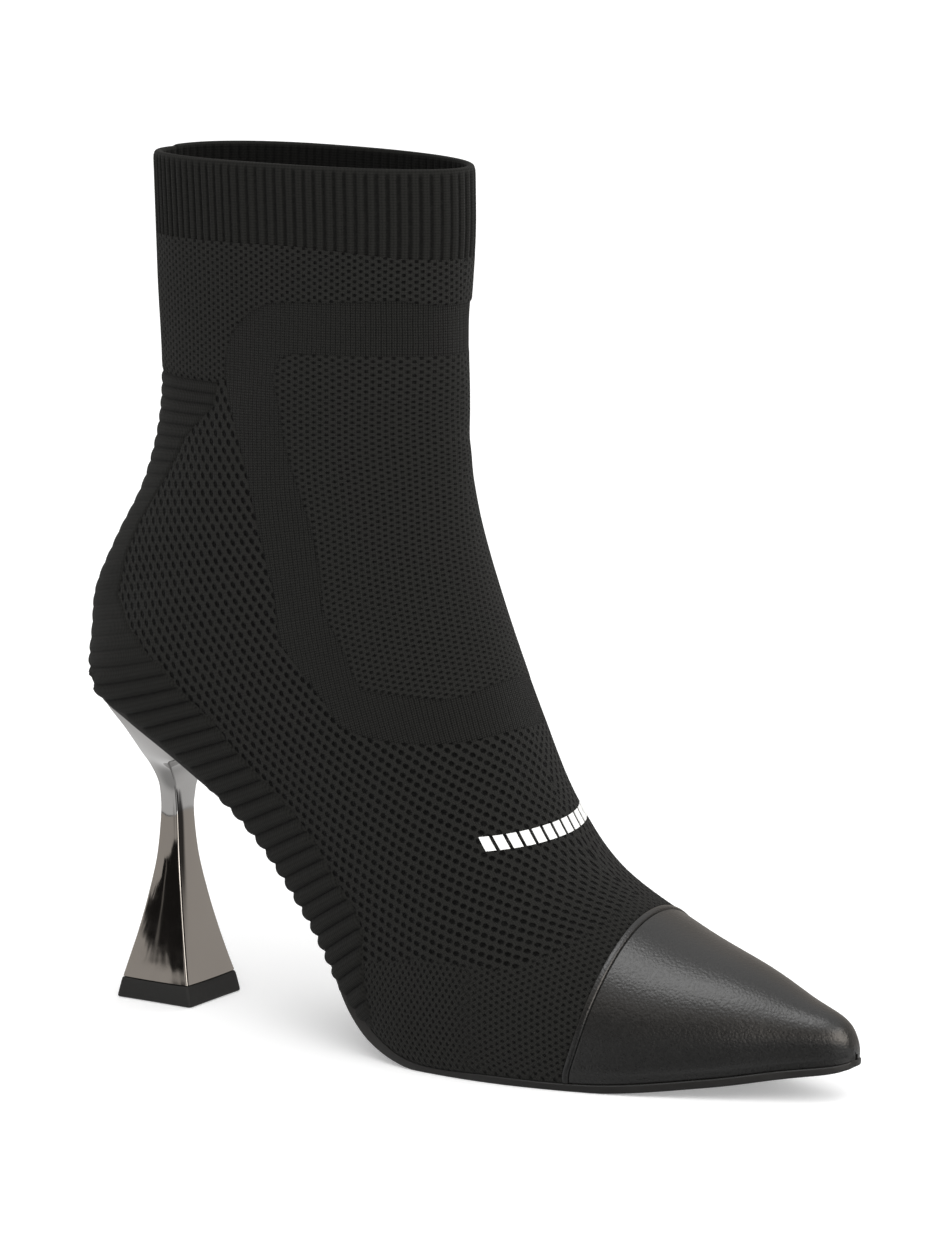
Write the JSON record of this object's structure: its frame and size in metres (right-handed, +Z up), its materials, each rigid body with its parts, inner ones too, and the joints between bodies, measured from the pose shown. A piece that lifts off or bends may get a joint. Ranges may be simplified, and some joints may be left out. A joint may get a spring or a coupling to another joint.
{
  "type": "knit ankle boot",
  "caption": "Right knit sock ankle boot with a pointed leather toe cap, a thin sole and a square flared metal-plated heel.",
  "frame": {"origin": "middle of the heel's ground face", "axes": "+X to the toe, +Y to the wearer's left, which is the inner side of this right foot, +Z up"},
  "size_m": [0.2557, 0.0746, 0.2507],
  "materials": {
    "knit": "matt ribbed and openwork knit",
    "leather": "smooth, softly shining",
    "sole": "smooth, satin",
    "lining": "matt",
    "plated": "polished gunmetal plating",
    "rubber": "matt"
  },
  "bodies": {
    "root": {"knit_upper": "knit", "toe_cap": "leather", "outsole": "sole", "insole": "lining", "heel": "plated", "heel_top_piece": "rubber"}
  },
  "joints": []
}
